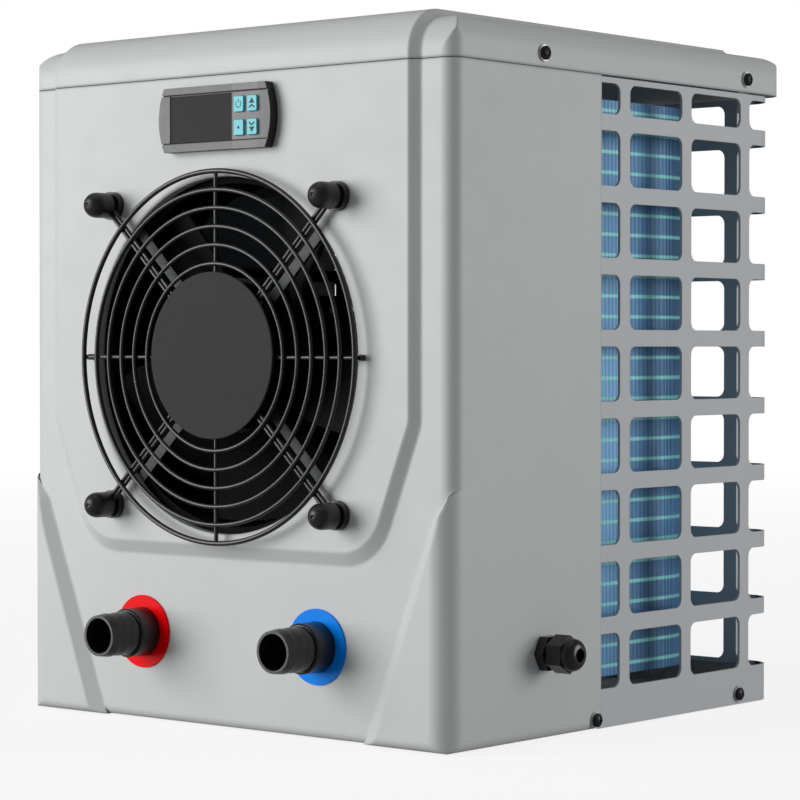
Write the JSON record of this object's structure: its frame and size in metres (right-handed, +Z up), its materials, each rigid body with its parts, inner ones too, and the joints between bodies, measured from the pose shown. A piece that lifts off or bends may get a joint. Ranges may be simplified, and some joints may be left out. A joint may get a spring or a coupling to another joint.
{
  "type": "heat pump unit",
  "caption": "Compact air-source heater for a small pool: square grey casing, round front fan guard, keypad controller, hose tails, wrap-round rear grille.",
  "frame": {"origin": "on the floor, under the middle of the overall box", "axes": "+Z up, -Y out of the front face where the hoses leave, +X to the right as seen from the front"},
  "size_m": [0.3364, 0.3444, 0.3812],
  "materials": {
    "painted_steel": "satin light grey powder coat",
    "grille_paint": "satin grey powder coat",
    "zinc_sheet": "galvanised, dull",
    "black_wire": "black semi-gloss coat on steel wire",
    "zinc_fastener": "zinc plated",
    "black_fastener": "black oxide",
    "black_rubber": "matt",
    "hub_plastic": "fine matt texture",
    "black_plastic": "satin moulded",
    "bezel_plastic": "satin dark grey",
    "display_lens": "smoked, glossy",
    "key_turquoise": "satin turquoise",
    "board_green": "soldered board",
    "motor_steel": "grey zinc",
    "motor_varnish": "dark varnished windings and laminations",
    "bright_steel": "ground",
    "copper_winding": "copper winding and laminations",
    "ring_red": "red",
    "ring_blue": "blue",
    "tank_plastic": "dark grey PVC",
    "titanium": "titanium grey",
    "switch_plastic": "blue housing",
    "white_plastic": "white nylon",
    "fin_blue": "blue hydrophilic coating",
    "copper": "drawn copper tube",
    "compressor_black": "black painted steel can",
    "capacitor_case": "aluminium can"
  },
  "bodies": {
    "casing": {"front_shell": "painted_steel", "top_cover": "painted_steel", "rear_grille": "grille_paint", "base_pan": "zinc_sheet", "rubber_feet": "black_rubber", "casing_screws": "black_fastener", "screw_washers": "zinc_fastener", "fan_guard": "black_wire", "hub_disc": "hub_plastic", "guard_studs": "zinc_fastener", "guard_washers": "black_rubber", "guard_nuts": "zinc_fastener", "stud_caps": "black_rubber", "fan_shroud": "black_plastic", "motor_bracket": "motor_steel", "motor_stator": "motor_varnish", "motor_bearings": "bright_steel", "controller_bezel": "bezel_plastic", "display_window": "display_lens", "controller_body": "black_plastic", "controller_board": "board_green", "hose_tail_left": "black_plastic", "hose_tail_right": "black_plastic", "port_ring_red": "ring_red", "port_ring_blue": "ring_blue", "tail_o_rings": "black_rubber", "exchanger_tank": "tank_plastic", "exchanger_caps": "tank_plastic", "titanium_tube": "titanium", "exchanger_saddles": "zinc_sheet", "flow_switch_body": "switch_plastic", "gland_body": "black_plastic", "gland_locknut": "black_plastic", "gland_seal": "black_rubber", "gland_dome_nut": "black_plastic", "evaporator_fins": "fin_blue", "evaporator_hairpins": "copper", "evaporator_return_bends": "copper", "evaporator_end_plates": "zinc_sheet", "compressor_shell": "compressor_black", "compressor_grommets": "black_rubber", "compressor_stator": "copper_winding", "terminal_cover": "black_plastic", "accumulator": "compressor_black", "discharge_pipe": "copper", "suction_pipe": "copper", "liquid_pipe": "copper", "filter_drier": "copper", "capillary_tube": "copper", "electric_box": "zinc_sheet", "power_board": "board_green", "run_capacitor": "capacitor_case"},
    "fan": {"fan_impeller": "black_plastic", "fan_shaft": "bright_steel"},
    "power_key": {"key_power": "key_turquoise"},
    "up_key": {"key_up": "key_turquoise"},
    "set_key": {"key_set": "key_turquoise"},
    "down_key": {"key_down": "key_turquoise"},
    "flow_vane": {"flow_paddle": "white_plastic"},
    "crankshaft": {"compressor_crankshaft": "bright_steel"}
  },
  "joints": [
    {"name": "fan_spin", "type": "hinge", "parent": "casing", "child": "fan", "pos_m": [-0.01112, -0.11135, 0.2027], "axis": [0, 1, 0], "continuous": true},
    {"name": "power_key_press", "type": "slide", "parent": "casing", "child": "power_key", "axis": [0, 1, 0], "range_m": [0, 0.0006], "stiffness_N_per_m": 800},
    {"name": "up_key_press", "type": "slide", "parent": "casing", "child": "up_key", "axis": [0, 1, 0], "range_m": [0, 0.0006], "stiffness_N_per_m": 800},
    {"name": "set_key_press", "type": "slide", "parent": "casing", "child": "set_key", "axis": [0, 1, 0], "range_m": [0, 0.0006], "stiffness_N_per_m": 800},
    {"name": "down_key_press", "type": "slide", "parent": "casing", "child": "down_key", "axis": [0, 1, 0], "range_m": [0, 0.0006], "stiffness_N_per_m": 800},
    {"name": "flow_vane_swing", "type": "hinge", "parent": "casing", "child": "flow_vane", "pos_m": [0.05328, -0.09135, 0.079], "axis": [0, 1, 0], "range_deg": [-25, 25]},
    {"name": "compressor_spin", "type": "hinge", "parent": "casing", "child": "crankshaft", "pos_m": [-0.09462, 0.05365, 0.116], "axis": [0, 0, 1], "continuous": true}
  ]
}
